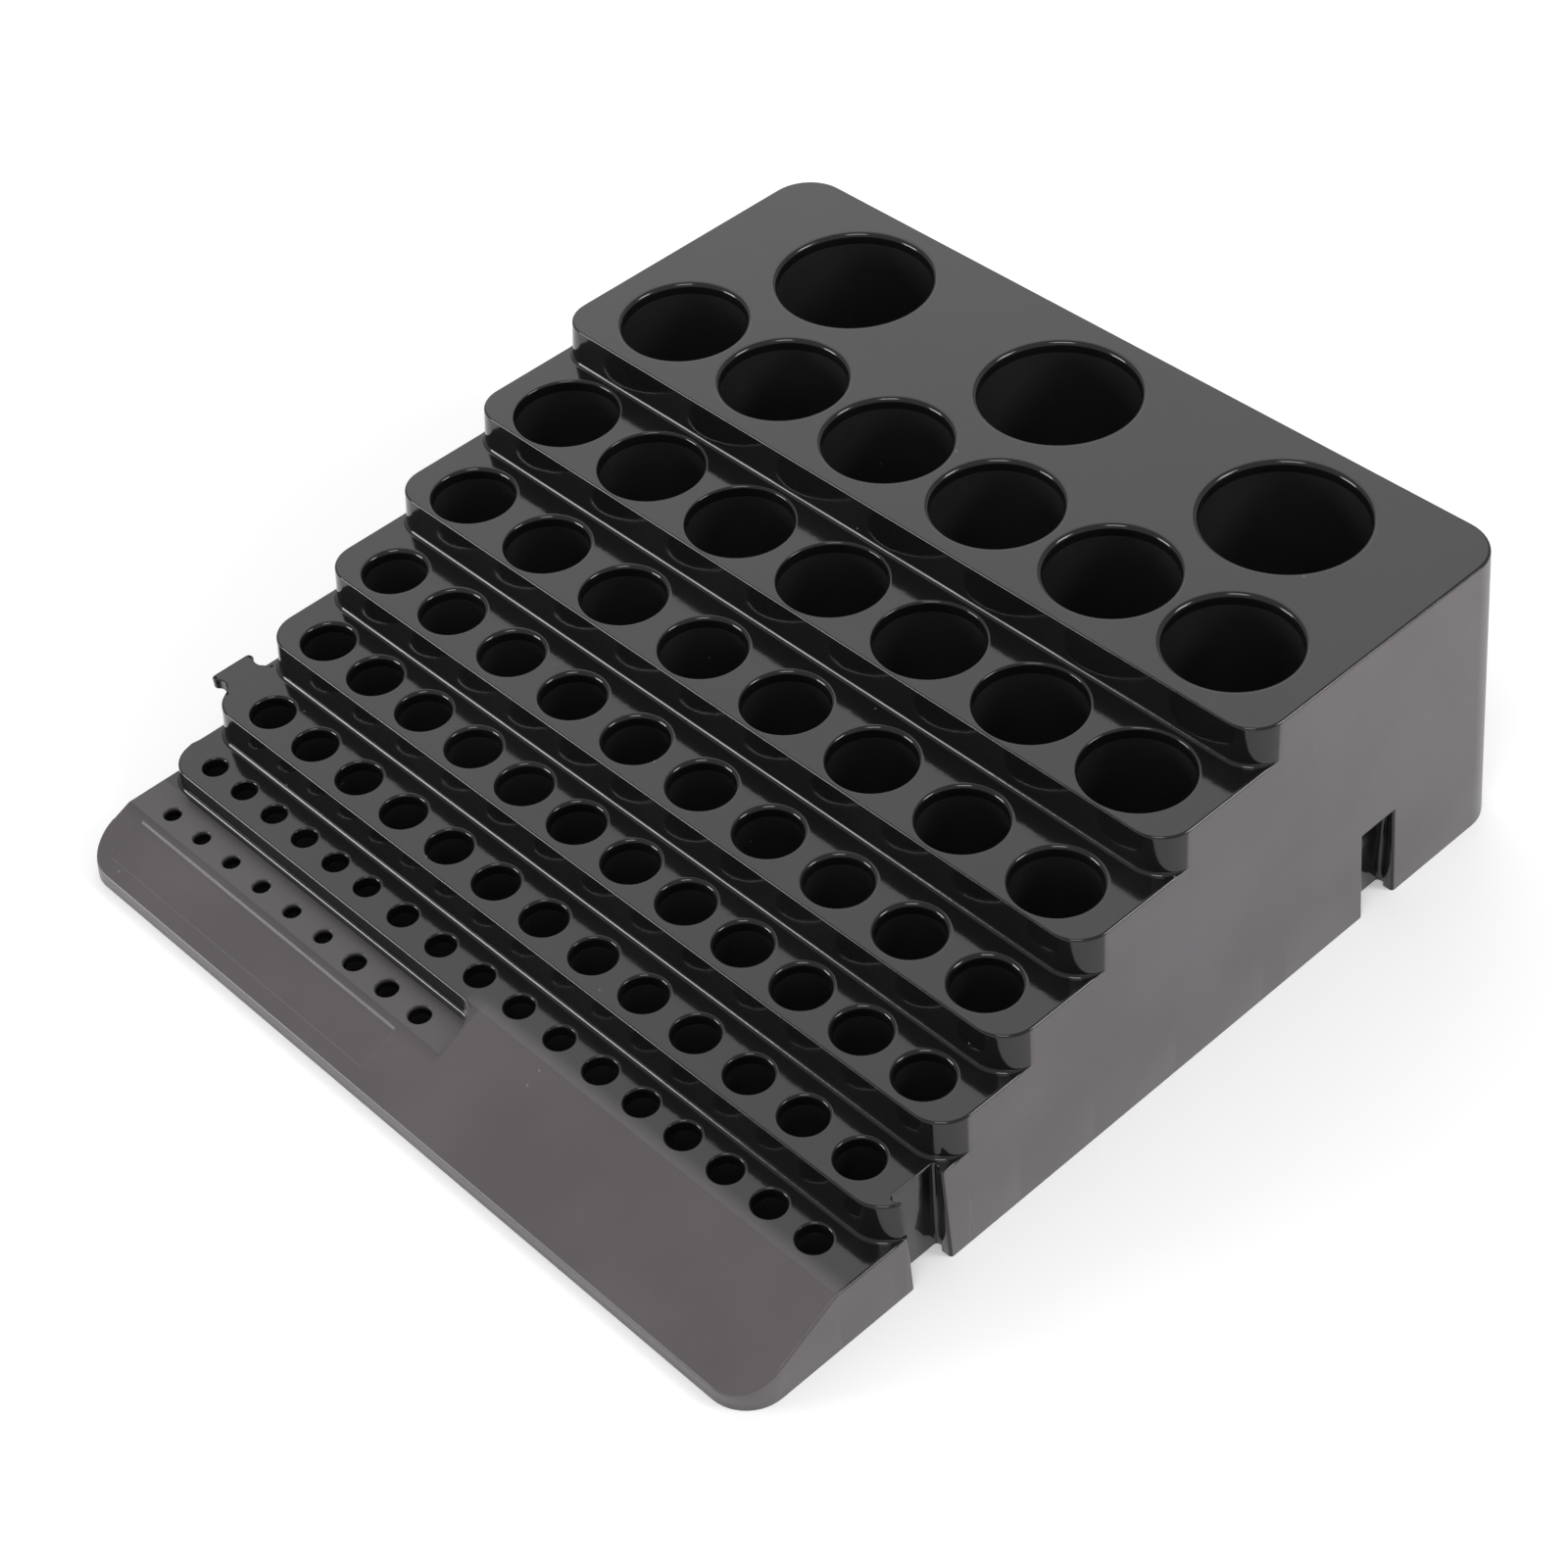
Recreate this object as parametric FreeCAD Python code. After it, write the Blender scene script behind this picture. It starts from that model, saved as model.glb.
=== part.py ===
import FreeCAD, Part
import math
import os

os.makedirs("parts", exist_ok=True)

# Drill bit storage box: one moulded stepped shell, open underneath, that holds
# drill bits upright in nine rows of blind round sockets.
# Sizes are millimetres. X runs left to right, Y from the front nose to the
# rear wall, Z up from the table. Step 1 is the lowest full-width step.

# Outline
base_width = 195.0
base_depth = 204.5
wall = 2.4
draft_deg = 3.7
rear_draft_deg = 0.5

# Steps, from the lowest full-width step up to the deck behind them
first_tread_height = 13.5
riser_height = 8.4
tread_depths = [12.2, 15.2, 16.2, 19.3, 21.9, 24.6]
nose_run = 23.1
nose_height = 3.0
step_corner_radius = 7.0
nose_corner_radius = 8.5
rear_corner_radius = 9.0

# Low terrace, sunk into the left half of the front ramp
terrace_height = 9.0
terrace_right_end = 1.5
terrace_corner_radius = 4.5

# Blank label field on the ramp
label_length = 81.0
label_width = 9.3
label_depth = 0.4
label_left = 6.6
label_from_nose = 3.6

# Sockets
socket_wall = 1.2
socket_floor = 1.6
socket_lift = 1.0

# Link tabs on the left side, and the pockets on the right side that take them
link_front_from_nose = 44.85
link_rear_from_rear = 38.05
tab_thickness = 2.4
tab_neck = 8.2
tab_head = 9.8
tab_head_depth = 1.4
link_clearance = 0.4
pocket_depth = 4.3
pocket_flare = 0.7
rear_pocket_height = 21.0
pocket_wall = 1.6
slot_above_tread = 1.0

# Each row: step it stands on, distance from that step's front edge to the
# row's line, and its groups of sockets as (count, bore diameter, pitch, x of
# the first socket, or None for a group centred on the box)
TERRACE = 0
DECK = len(tread_depths) + 1
ROWS = [
    {"step": TERRACE, "line": -6.0, "groups": [(6, 3.6, 9.8, -87.2), (3, 4.6, 9.8, -28.4)]},
    {"step": 1, "line": 5.8, "groups": [(6, 5.0, 9.8, -87.4), (5, 5.8, 11.4, -27.3), (6, 6.5, 11.1, 29.6)]},
    {"step": 2, "line": 6.9, "groups": [(13, 9.0, 13.9, None)]},
    {"step": 3, "line": 7.6, "groups": [(12, 10.8, 15.2, None)]},
    {"step": 4, "line": 8.7, "groups": [(10, 12.8, 18.2, None)]},
    {"step": 5, "line": 9.6, "groups": [(8, 17.0, 22.8, None)]},
    {"step": 6, "line": 11.6, "groups": [(7, 21.5, 25.7, None)]},
    {"step": DECK, "line": 16.9, "groups": [(6, 25.8, 29.3, None)]},
    {"step": DECK, "line": 50.2, "groups": [(3, 32.5, 57.4, None)]},
]

# Worked-out values
slope = math.tan(math.radians(draft_deg))
rear_slope = math.tan(math.radians(rear_draft_deg))
wall_across = wall / math.cos(math.radians(draft_deg))
front_y = -base_depth / 2
rear_y = base_depth / 2
link_front_y = front_y + link_front_from_nose
link_rear_y = rear_y - link_rear_from_rear
deck_height = first_tread_height + riser_height * (DECK - 1)
beyond = 10.0
upright_ratio = 4.0
far = base_width + base_depth

# Front edge of each tread, from step 1 to the deck
front_edges = [front_y + nose_run]
for depth in tread_depths:
    front_edges.append(front_edges[-1] + depth)

# Ramp from the nose up to the edge of step 1
ramp_foot_y = front_y + slope * nose_height
ramp_rise = first_tread_height - nose_height
ramp_run = front_edges[0] - ramp_foot_y
ramp_angle = math.atan2(ramp_rise, ramp_run)

# The terrace runs from where the ramp reaches its height to the wall of step 1
terrace_drop = first_tread_height - terrace_height
ramp_end = front_edges[0] - slope * terrace_drop
terrace_front = front_edges[0] - terrace_drop / math.tan(ramp_angle)

# The tabs reach past the left side, so the box's middle is moved by half of
# that reach: the origin is then the middle of everything that it covers
tab_reach = pocket_depth - link_clearance
origin_shift = tab_reach / 2


def vec(x, y, z):
    return FreeCAD.Vector(x, y, z)


def tread_height(step):
    """Height of a step's top face; step 0 is the low terrace."""
    if step == TERRACE:
        return terrace_height
    return first_tread_height + riser_height * (step - 1)


def half_width(z):
    """Half the outer width at height z: the sides lean in."""
    return base_width / 2 - slope * z


def foot_of(step):
    """Where a step's riser meets the tread below it."""
    return front_edges[step - 1] - slope * riser_height


def extrude(points, direction):
    return Part.Face(Part.makePolygon(points + points[:1])).extrude(direction)


def prism_along_x(yz, x0, x1):
    return extrude([vec(x0, y, z) for y, z in yz], vec(x1 - x0, 0, 0))


def prism_along_y(xz, y0, y1):
    return extrude([vec(x, y0, z) for x, z in xz], vec(0, y1 - y0, 0))


def box(x0, x1, y0, y1, z0, z1):
    return Part.makeBox(x1 - x0, y1 - y0, z1 - z0, vec(x0, y0, z0))


def upright_edges(solid, y_test):
    """The long, nearly upright edges whose middle passes the y test."""
    found = []
    for edge in solid.Edges:
        a, b = edge.Vertexes[0].Point, edge.Vertexes[-1].Point
        run = math.hypot(a.x - b.x, a.y - b.y)
        if abs(a.z - b.z) > upright_ratio * run and y_test((a.y + b.y) / 2):
            found.append(edge)
    return found


def block(front_edge, top, bottom, inset, front_radius):
    """A drafted block with rounded corners, drawn in on all sides by inset."""
    side = inset * wall_across / wall
    y_low = front_edge - slope * (top + inset - bottom) + side
    y_high = front_edge + side
    y_back_low = rear_y - rear_slope * bottom - inset
    y_back_high = rear_y - rear_slope * top - inset
    x_low = half_width(bottom) - side
    x_high = half_width(top) - side
    profile = [(y_low, bottom), (y_back_low, bottom), (y_back_high, top), (y_high, top)]
    body = prism_along_x(profile, -far, far)
    sides = [(-x_low, bottom), (x_low, bottom), (x_high, top), (-x_high, top)]
    body = body.common(prism_along_y(sides, -far, far))
    middle = (y_low + y_back_low) / 2
    body = body.makeFillet(front_radius - inset, upright_edges(body, lambda y: y < middle))
    return body.makeFillet(rear_corner_radius - inset, upright_edges(body, lambda y: y > middle))


def above_ramp(inset):
    """Everything in front of step 1 and above the ramp, lowered by inset."""
    drop = inset / math.cos(ramp_angle)
    reach = 2 * base_depth
    y0, z0 = front_edges[0], first_tread_height - drop
    y1, z1 = y0 - reach * math.cos(ramp_angle), z0 - reach * math.sin(ramp_angle)
    y2, z2 = y0 + reach * math.cos(ramp_angle), z0 + reach * math.sin(ramp_angle)
    top = z2 + beyond
    return prism_along_x([(y1, z1), (y2, z2), (y2, top), (y1, top)], -far, far)


def terrace_space(inset):
    """The space over the terrace; it wraps round the left corner of step 1."""
    back = ramp_end + inset
    right = terrace_right_end + inset
    bottom = terrace_height - inset
    top = first_tread_height + beyond
    space = box(-far, right, front_y - beyond, back, bottom, top)
    inner_corner = [e for e in space.Edges if is_upright_at(e, right, back)]
    space = space.makeFillet(terrace_corner_radius + inset, inner_corner)
    side = inset * wall_across / wall
    x_low = half_width(bottom) - side
    x_high = half_width(top) - side
    sides = [(-x_low, bottom), (x_low, bottom), (x_high, top), (-x_high, top)]
    step_one = prism_along_y(sides, back, far)
    front_corners = upright_edges(step_one, lambda y: y < back + wall)
    step_one = step_one.makeFillet(step_corner_radius - inset, front_corners)
    corner = box(-far, 0, back - wall, ramp_end + step_corner_radius, bottom, top)
    return space.fuse(corner.cut(step_one))


def is_upright_at(edge, x, y):
    ends = [v.Point for v in edge.Vertexes]
    return all(abs(p.x - x) < 1e-6 and abs(p.y - y) < 1e-6 for p in ends)


def stepped_form(inset):
    """The whole stepped block; with an inset, the hollow inside it."""
    bottom = -beyond if inset else 0.0
    low_front = front_y + slope * first_tread_height
    form = block(low_front, first_tread_height - inset, bottom, inset, nose_corner_radius)
    form = form.cut(above_ramp(inset))
    for step in range(2, DECK + 1):
        top = tread_height(step) - inset
        form = form.fuse(block(front_edges[step - 1], top, bottom, inset, step_corner_radius))
    form = form.cut(terrace_space(inset))
    return form.removeSplitter()


def label_recess():
    """A shallow blank rectangle sunk into the ramp, square to it."""
    tool = box(0, label_length, 0, label_width, -label_depth, beyond)
    tool.rotate(vec(0, 0, 0), vec(1, 0, 0), math.degrees(ramp_angle))
    start_y = ramp_foot_y + label_from_nose * math.cos(ramp_angle)
    start_z = nose_height + label_from_nose * math.sin(ramp_angle)
    tool.translate(vec(label_left - base_width / 2, start_y, start_z))
    return tool


def socket_places(row):
    """(x, y, bore radius) of every socket in a row."""
    edge = front_edges[max(row["step"], 1) - 1]
    places = []
    for count, bore, pitch, first_x in row["groups"]:
        start = -pitch * (count - 1) / 2 if first_x is None else first_x
        for i in range(count):
            places.append((start + pitch * i, edge + row["line"], bore / 2))
    return places


def upright_cylinder(x, y, radius, z0, z1):
    return Part.makeCylinder(radius, z1 - z0, vec(x, y, z0))


def bore_tool(row, place):
    x, y, radius = place
    top = tread_height(row["step"])
    return upright_cylinder(x, y, radius, socket_lift + socket_floor, top + beyond / 2)


def socket_cup(row, place):
    """A closed-ended tube hanging under its tread."""
    x, y, radius = place
    top = tread_height(row["step"]) - wall
    return upright_cylinder(x, y, radius + socket_wall, socket_lift, top)


def link_profile(head, neck, tip_x, neck_x, out_x):
    """Half outlines of the dovetail, mirrored about y = 0, from tip outwards."""
    upper = [(tip_x, head / 2), (neck_x, head / 2)]
    upper += [(neck_x + math.copysign(pocket_flare, out_x - neck_x), neck / 2), (out_x, neck / 2)]
    return upper + [(x, -y) for x, y in reversed(upper)]


def upright_prism(xy, y_middle, z0, z1):
    return extrude([vec(x, y + y_middle, z0) for x, y in xy], vec(0, 0, z1 - z0))


def pocket_space(y_middle, top):
    """The slot cut into the right side: wider behind its lips."""
    inner_x = base_width / 2 - pocket_depth
    lip_x = inner_x + tab_head_depth + link_clearance
    outline = link_profile(
        tab_head + 2 * link_clearance, tab_neck + 2 * link_clearance, inner_x, lip_x, far
    )
    return upright_prism(outline, y_middle, -beyond, top)


def link_tab(y_middle, top):
    """A flat dovetail tab on the left side, cut to the side's lean."""
    tip_x = -(base_width / 2 + tab_reach)
    outline = link_profile(tab_head, tab_neck, tip_x, tip_x + tab_head_depth, 0.0)
    return upright_prism(outline, y_middle, top - tab_thickness, top)


def pocket_lining(y_middle, top):
    """The block that closes a pocket off from the hollow inside."""
    inner_x = base_width / 2 - pocket_depth - pocket_wall
    reach = tab_head / 2 + link_clearance + pocket_wall
    return box(inner_x, base_width / 2, y_middle - reach, y_middle + reach, 0.0, top)


# The one-piece shell, with its sockets' mouths, label field and link slots
outer = stepped_form(0.0)
hollow = stepped_form(wall)
shell = outer.cut(hollow)
bores = [bore_tool(row, place) for row in ROWS for place in socket_places(row)]
front_pocket_top = tread_height(2)
slots = [
    pocket_space(link_front_y, front_pocket_top + slot_above_tread),
    pocket_space(link_rear_y, rear_pocket_height),
]
shell = shell.cut(bores + slots + [label_recess()])

# Where the shell is divided: side walls, rear wall with its two corners, then
# one slab per step
top_z = deck_height + beyond
side_in = half_width(0.0) - wall_across
side_in_top = half_width(top_z) - wall_across
middle_zone = prism_along_y(
    [(-side_in, 0), (side_in, 0), (side_in_top, top_z), (-side_in_top, top_z)], -far, far
)
left_zone = prism_along_y(
    [(-far, 0), (-side_in, 0), (-side_in_top, top_z), (-far, top_z)], -far, far
)
right_zone = prism_along_y(
    [(far, 0), (side_in, 0), (side_in_top, top_z), (far, top_z)], -far, far
)
rear_corner_y = rear_y - rear_corner_radius - wall
rear_zone = box(-far, far, rear_corner_y, far, -beyond, deck_height - wall)

parts = {}
parts["side_wall_left"] = shell.common(left_zone)
right_wall = shell.common(right_zone)
nose_side = box(-far, far, -far, link_front_y, -beyond, top_z)
parts["side_wall_right"] = right_wall.cut(nose_side)
parts["side_wall_right_nose"] = right_wall.common(nose_side)
between = shell.common(middle_zone)
parts["rear_wall"] = between.common(rear_zone)
between = between.cut(rear_zone)
cuts = [ramp_end] + [foot_of(step) for step in range(2, DECK + 1)] + [far]
for step in range(1, DECK + 1):
    name = "top_deck" if step == DECK else "step_%d" % step
    slab = box(-far, far, cuts[step - 1], cuts[step], -beyond, top_z)
    parts[name] = between.common(slab)
terrace_zone = box(-far, terrace_right_end + wall, terrace_front, ramp_end, -beyond, top_z)
nose_zone = box(-far, far, -far, ramp_end, -beyond, top_z)
parts["low_terrace"] = between.common(terrace_zone)
parts["front_ramp"] = between.common(nose_zone).cut(terrace_zone)

# Sockets, one node per row with a separate cup for each bit
for number, row in enumerate(ROWS, 1):
    cups = []
    for place in socket_places(row):
        cup = socket_cup(row, place).cut(bore_tool(row, place))
        cups.append(cup.common(hollow))
    parts["sockets_row_%d" % number] = Part.makeCompound(cups)

# Link tabs on the left, pocket linings on the right
rear_tab_top = rear_pocket_height - link_clearance
parts["link_tab_front"] = link_tab(link_front_y, tread_height(2)).cut(outer)
parts["link_tab_rear"] = link_tab(link_rear_y, rear_tab_top).cut(outer)
for place, y_middle, top, slot in (
    ("front", link_front_y, tread_height(2) - wall, slots[0]),
    ("rear", link_rear_y, rear_pocket_height + pocket_wall, slots[1]),
):
    parts["link_pocket_" + place] = pocket_lining(y_middle, top).cut(slot).common(hollow)

for name, shape in parts.items():
    shape.translate(vec(origin_shift, 0, 0))
    solids = shape.Solids
    good = all(s.isValid() and s.isClosed() for s in solids)
    print("%-22s %3d solids  %9.1f mm3  valid %s" % (name, len(solids), shape.Volume, good))
    shape = solids[0] if len(solids) == 1 else Part.makeCompound(solids)
    shape.exportStep("parts/%s.step" % name)
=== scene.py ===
# %% [markdown]
# A drill bit storage box: one black moulded shell with steps like a small
# grandstand. Every step carries a row of round sockets for one range of bits.
# This lesson dresses the box's plain engineering solids with the soft edges,
# rounded socket mouths and black plastic, partly polished and partly matt, that
# the real moulding has. Each cell prints what it made or measured.

# %% Load the fixed frame
import math

import bmesh
import bpy
import numpy as np
from mathutils import Matrix, Quaternion, Vector
from mathutils.geometry import delaunay_2d_cdt


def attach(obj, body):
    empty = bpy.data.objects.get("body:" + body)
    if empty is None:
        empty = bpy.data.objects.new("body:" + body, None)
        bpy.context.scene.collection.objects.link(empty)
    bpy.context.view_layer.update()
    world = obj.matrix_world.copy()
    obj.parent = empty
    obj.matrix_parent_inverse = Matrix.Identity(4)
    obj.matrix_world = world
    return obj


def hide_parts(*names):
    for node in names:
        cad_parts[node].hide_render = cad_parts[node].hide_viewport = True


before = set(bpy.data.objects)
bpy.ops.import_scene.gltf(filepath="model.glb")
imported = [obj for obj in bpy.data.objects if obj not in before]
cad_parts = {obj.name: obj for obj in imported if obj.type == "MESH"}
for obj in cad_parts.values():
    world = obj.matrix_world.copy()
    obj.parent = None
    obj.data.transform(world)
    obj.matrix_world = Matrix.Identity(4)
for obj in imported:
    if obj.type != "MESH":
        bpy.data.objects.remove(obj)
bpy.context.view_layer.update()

print("nodes", len(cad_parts))

# %% [markdown]
# The sizes come first. They are the same millimetres that the solids were
# drawn with, so that every new surface lands where the old one was. The box's
# sides lean in by 3.7 degrees, which lets the real moulding leave its mould.

# %% Sizes of the box in millimetres
BASE_WIDTH, BASE_DEPTH, WALL = 195.0, 204.5, 2.4
SLOPE = math.tan(math.radians(3.7))
REAR_SLOPE = math.tan(math.radians(0.5))
WALL_ACROSS = WALL / math.cos(math.radians(3.7))
FIRST_TREAD, RISER, NOSE = 13.5, 8.4, 3.0
TREAD_DEPTHS = [12.2, 15.2, 16.2, 19.3, 21.9, 24.6]
NOSE_RUN = 23.1
STEP_CORNER, NOSE_CORNER, REAR_CORNER = 7.0, 8.5, 9.0
FRONT_Y, REAR_Y = -BASE_DEPTH / 2, BASE_DEPTH / 2
EDGES = np.concatenate([[0.0], FRONT_Y + NOSE_RUN + np.cumsum([0.0] + TREAD_DEPTHS)])
DECK = 7
TERRACE_TOP, TERRACE_END, TERRACE_CORNER = 9.0, 1.5, 4.5
SHIFT_X = 1.95
MM = 0.001

RAMP_FOOT_Y = FRONT_Y + SLOPE * NOSE
RAMP = (FIRST_TREAD - NOSE) / (EDGES[1] - RAMP_FOOT_Y)
TERRACE_FRONT = EDGES[1] - (FIRST_TREAD - TERRACE_TOP) / RAMP
TERRACE_FOOT = EDGES[1] - SLOPE * (FIRST_TREAD - TERRACE_TOP)


def top_of(tier):
    """Height of a step's tread: the first tread plus one riser for each step above it."""
    return FIRST_TREAD + RISER * (tier - 1)


def half_width(z):
    """Half the box's width at height z: it shrinks steadily with height."""
    return BASE_WIDTH / 2 - SLOPE * z


print("deck height", top_of(DECK), "terrace front", round(TERRACE_FRONT, 2))

# %% [markdown]
# The nine rows of sockets, small bits in front and large ones at the back.
# Each group is a count, a bore, a pitch and the middle of its first socket. The
# last pair is how far a mouth is rounded at its front and at its back.

# %% Rows of sockets
TERRACE = 0
ROWS = [
    (TERRACE, -6.0, [(6, 3.6, 9.8, -87.2), (3, 4.6, 9.8, -28.4)], (0.35, 0.35)),
    (1, 5.8, [(6, 5.0, 9.8, -87.4), (5, 5.8, 11.4, -27.3), (6, 6.5, 11.1, 29.6)], (0.45, 0.45)),
    (2, 6.9, [(13, 9.0, 13.9, None)], (0.6, 0.6)),
    (3, 7.6, [(12, 10.8, 15.2, None)], (0.8, 0.8)),
    (4, 8.7, [(10, 12.8, 18.2, None)], (0.9, 0.9)),
    (5, 9.6, [(8, 17.0, 22.8, None)], (0.5, 0.9)),
    (6, 11.6, [(7, 21.5, 25.7, None)], (0.32, 0.6)),
    (DECK, 16.9, [(6, 25.8, 29.3, None)], (1.0, 1.0)),
    (DECK, 50.2, [(3, 32.5, 57.4, None)], (1.0, 1.0)),
]
SOCKET_WALL, SOCKET_FLOOR, SOCKET_LIFT = 1.2, 1.6, 1.0


def sockets_of(row):
    """Middle, bore radius and mouth rounding of every socket in one row."""
    step, line, groups, soft = row
    places = []
    for count, bore, pitch, first in groups:
        start = -pitch * (count - 1) / 2 if first is None else first
        y = EDGES[max(step, 1)] + line
        places += [(start + pitch * i, y, bore / 2, soft) for i in range(count)]
    return places


def tread_height(step):
    """Height of the tread that a row of sockets stands on."""
    return TERRACE_TOP if step == TERRACE else top_of(step)


print("sockets", sum(len(sockets_of(row)) for row in ROWS))

# %% [markdown]
# A surface can be stored as a grid of points: rows across it and columns along
# it. Every four neighbours make one face. The alternative, placing faces one by
# one, is slow and hard to change. Flat areas with holes in them are filled
# between their outlines instead, because a grid can't go round many holes.

# %% A skin that collects surfaces
SAME_POINT = 2e-6
FLATNESS = 50


class Skin:
    """Points in millimetres and faces, gathered from grids and filled outlines."""

    def __init__(self):
        self.points, self.quads, self.tris, self.count = [], [], [], 0

    def grid(self, points, closed=True, flip=False):
        """Joins point (i, j) to (i, j+1), (i+1, j+1) and (i+1, j) for the whole array at once."""
        rows, cols = points.shape[:2]
        i = np.arange(rows - 1)[:, None]
        j = np.arange(cols if closed else cols - 1)[None, :]
        k = (j + 1) % cols
        quads = np.stack([i * cols + j, i * cols + k, (i + 1) * cols + k, (i + 1) * cols + j], -1)
        quads = quads.reshape(-1, 4) + self.count
        self.quads.append(quads[:, ::-1] if flip else quads)
        self._keep(points.reshape(-1, 3))

    def fill(self, outline, holes, height, flip=False):
        """Fills a plan outline, except its holes, with triangles; height gives z at each point."""
        loops = [outline] + list(holes)
        sizes = np.array([len(loop) for loop in loops])
        starts = np.concatenate([[0], np.cumsum(sizes)[:-1]])
        ends = [np.stack([s + np.arange(n), s + (np.arange(n) + 1) % n], -1) for s, n in zip(starts, sizes)]
        plan = np.concatenate(loops)
        found = delaunay_2d_cdt(plan.tolist(), np.concatenate(ends).tolist(), [], 0, 1e-7)
        spots, tris = np.array(found[0], float), np.array(found[2])
        middle = spots[tris].mean(1)
        keep = inside(middle, outline)
        for hole in holes:
            keep &= ~inside(middle, hole)
        tris = tris[keep]
        a, b, c = spots[tris[:, 0]], spots[tris[:, 1]], spots[tris[:, 2]]
        area = (b[:, 0] - a[:, 0]) * (c[:, 1] - a[:, 1]) - (b[:, 1] - a[:, 1]) * (c[:, 0] - a[:, 0])
        tris = np.where((area > 0)[:, None], tris, tris[:, ::-1])[np.abs(area) > 1e-9]
        self.tris.append((tris[:, ::-1] if flip else tris) + self.count)
        z = np.broadcast_to(height(spots) if callable(height) else height, len(spots))
        self._keep(np.column_stack([spots, z]))

    def _keep(self, points):
        self.points.append(points)
        self.count += len(points)

    def build(self, name):
        """Makes the mesh, joins points that coincide and drops faces without area."""
        points = (np.concatenate(self.points) + [SHIFT_X, 0.0, 0.0]) * MM
        faces = np.concatenate(self.quads).tolist()
        faces += np.concatenate(self.tris).tolist() if self.tris else []
        mesh = bpy.data.meshes.new(name)
        mesh.from_pydata(points.tolist(), [], faces)
        work = bmesh.new()
        work.from_mesh(mesh)
        bmesh.ops.remove_doubles(work, verts=work.verts, dist=SAME_POINT)
        bmesh.ops.dissolve_degenerate(work, edges=work.edges, dist=SAME_POINT / 2)
        work.to_mesh(mesh)
        work.free()
        mesh.shade_smooth()
        piece = bpy.data.objects.new(name, mesh)
        piece.modifiers.new("flats stay flat", "WEIGHTED_NORMAL").weight = FLATNESS
        bpy.context.scene.collection.objects.link(piece)
        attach(piece, "root")
        triangles = sum(len(p.vertices) - 2 for p in mesh.polygons)
        print(name, "points", len(mesh.vertices), "triangles", triangles)
        return piece


def inside(points, loop):
    """True where a point is inside a closed loop: it crosses the loop an odd number of times."""
    x, y = points[:, 0][:, None], points[:, 1][:, None]
    x0, y0 = loop[:, 0], loop[:, 1]
    x1, y1 = np.roll(x0, -1), np.roll(y0, -1)
    spans = (y0 > y) != (y1 > y)
    rise = np.where(np.abs(y1 - y0) < 1e-12, 1e-12, y1 - y0)
    return (spans & (x < x0 + (y - y0) * (x1 - x0) / rise)).sum(1) % 2 == 1


square = np.array([[0.0, 0.0], [1.0, 0.0], [1.0, 1.0], [0.0, 1.0]])
samples = np.array([[0.5, 0.5], [1.5, 0.5]])
print("a square holds its middle but not a point beside it", inside(samples, square))

# %% [markdown]
# Seen from above, each tier of the box is a rectangle with rounded corners.
# On the right side two slots let a second box hook on. One function gives the
# outline at any height as points with the direction that faces outwards, so
# that edges can be rounded later by moving points inwards.

# %% Plan outline of a tier
RIGHT, FRONT, LEFT, BACK, SLOT_REAR, SLOT_FRONT = 1, 2, 3, 4, 5, 6
LINKS = {"front": FRONT_Y + 44.85, "rear": REAR_Y - 38.05}
TAB_NECK, TAB_HEAD, LINK_GAP = 4.1, 4.9, 0.4
THROAT, HEAD = TAB_NECK + LINK_GAP, TAB_HEAD + LINK_GAP
THROAT_X, HEAD_X, SLOT_X = 95.2, 94.7, BASE_WIDTH / 2 - 4.3
LIP, SLOT_CORNER = 0.7, 0.8
POCKET_WALL, RISER_WALL = 1.6, 0.6
POCKET_REACH = HEAD + POCKET_WALL
REAR_SLOT_TOP = 21.0
EDGE_SOFT, SIDE_SOFT, FOOT_SOFT, STRIP = 0.3, 0.5, 0.7, 0.3
CLEAR = 0.01


def front_line(tier, z):
    """Where a tier's front face is at height z: it leans back towards its top."""
    if tier == 1:
        return FRONT_Y + SLOPE * z
    return EDGES[tier] - SLOPE * (top_of(tier) - z)


def foot_line(tier):
    """Where a tier's front face stands on the tread below: one riser's lean in front of its edge."""
    return EDGES[tier] - SLOPE * RISER


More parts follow.
